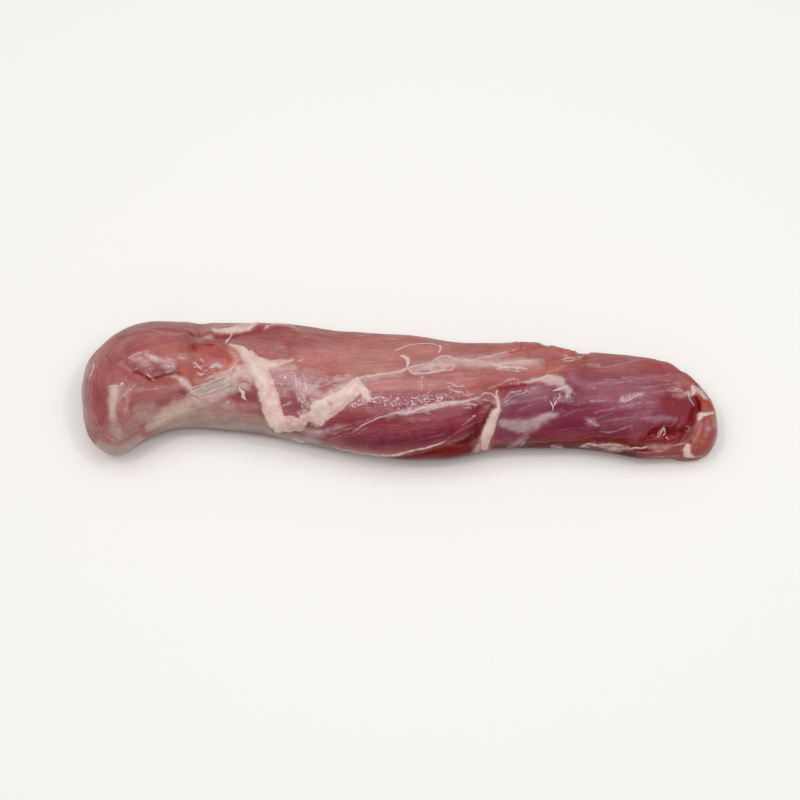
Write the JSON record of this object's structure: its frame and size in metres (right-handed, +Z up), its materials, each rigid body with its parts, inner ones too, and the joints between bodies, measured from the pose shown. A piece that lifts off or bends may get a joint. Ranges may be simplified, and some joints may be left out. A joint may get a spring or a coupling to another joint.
{
  "type": "raw pork tenderloin",
  "caption": "Whole raw pork tenderloin, thick rounded head tapering to a folded tail, with fat bands, silverskin and muscle relief.",
  "frame": {"origin": "on the resting plane, under the middle of the tenderloin's length and width", "axes": "+X runs along the length from the thick head to the folded tail, +Y to the far side, +Z up"},
  "size_m": [0.33, 0.0734, 0.0471],
  "materials": {
    "raw_meat": "wet raw pork muscle, rose to mauve, with cream fat bands and grey silverskin"
  },
  "bodies": {
    "root": {"tenderloin": "raw_meat"}
  },
  "joints": []
}
